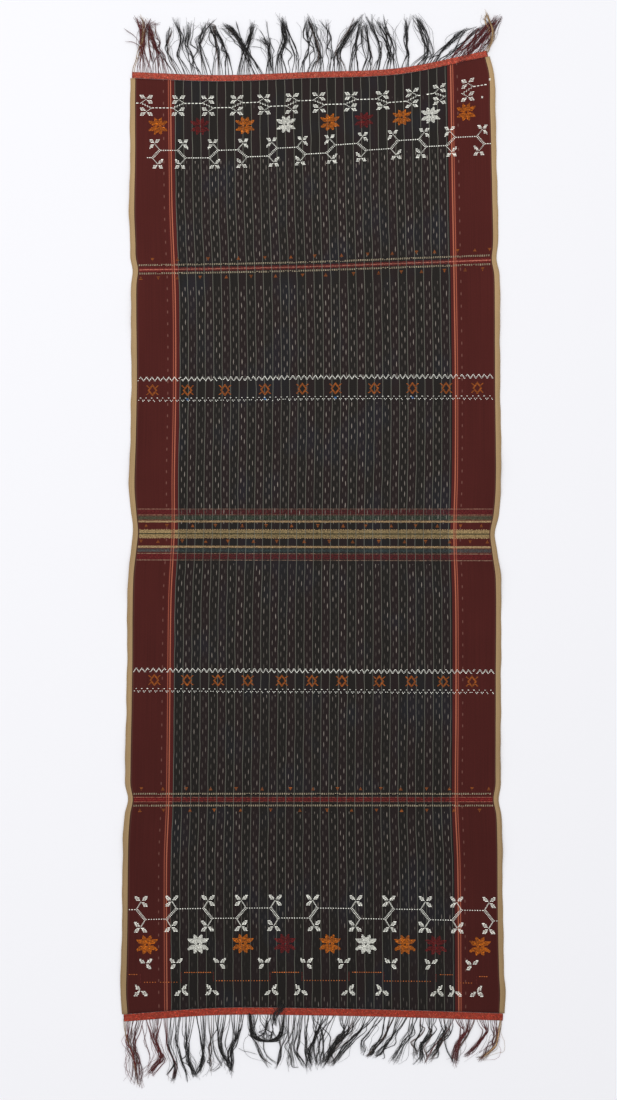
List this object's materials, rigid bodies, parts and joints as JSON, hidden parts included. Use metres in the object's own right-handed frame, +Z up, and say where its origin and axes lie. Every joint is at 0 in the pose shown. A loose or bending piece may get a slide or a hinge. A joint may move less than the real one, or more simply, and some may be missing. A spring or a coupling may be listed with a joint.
{
  "type": "shoulder cloth",
  "caption": "warp-striped shoulder cloth lying flat and face up, woven in one width, with a twined border and a loose thread fringe at each end",
  "frame": {"origin": "middle of the cloth's outline with its fringes, on the surface it lies on", "axes": "+X across the cloth, +Y along its warp towards the upper end, +Z up through its face"},
  "size_m": [0.7314, 2.0348, 0.0047],
  "materials": {
    "cloth": "dark warp-faced cotton with fine ikat dashes, red side bands and tan selvedges",
    "end_border": "orange-red twined cotton",
    "fringe": "loose cotton warp threads, black in the middle, maroon and tan at the sides"
  },
  "bodies": {
    "root": {"cloth": "cloth", "end_border_upper": "end_border", "end_border_lower": "end_border", "fringe_upper": "fringe", "fringe_lower": "fringe"}
  },
  "joints": []
}
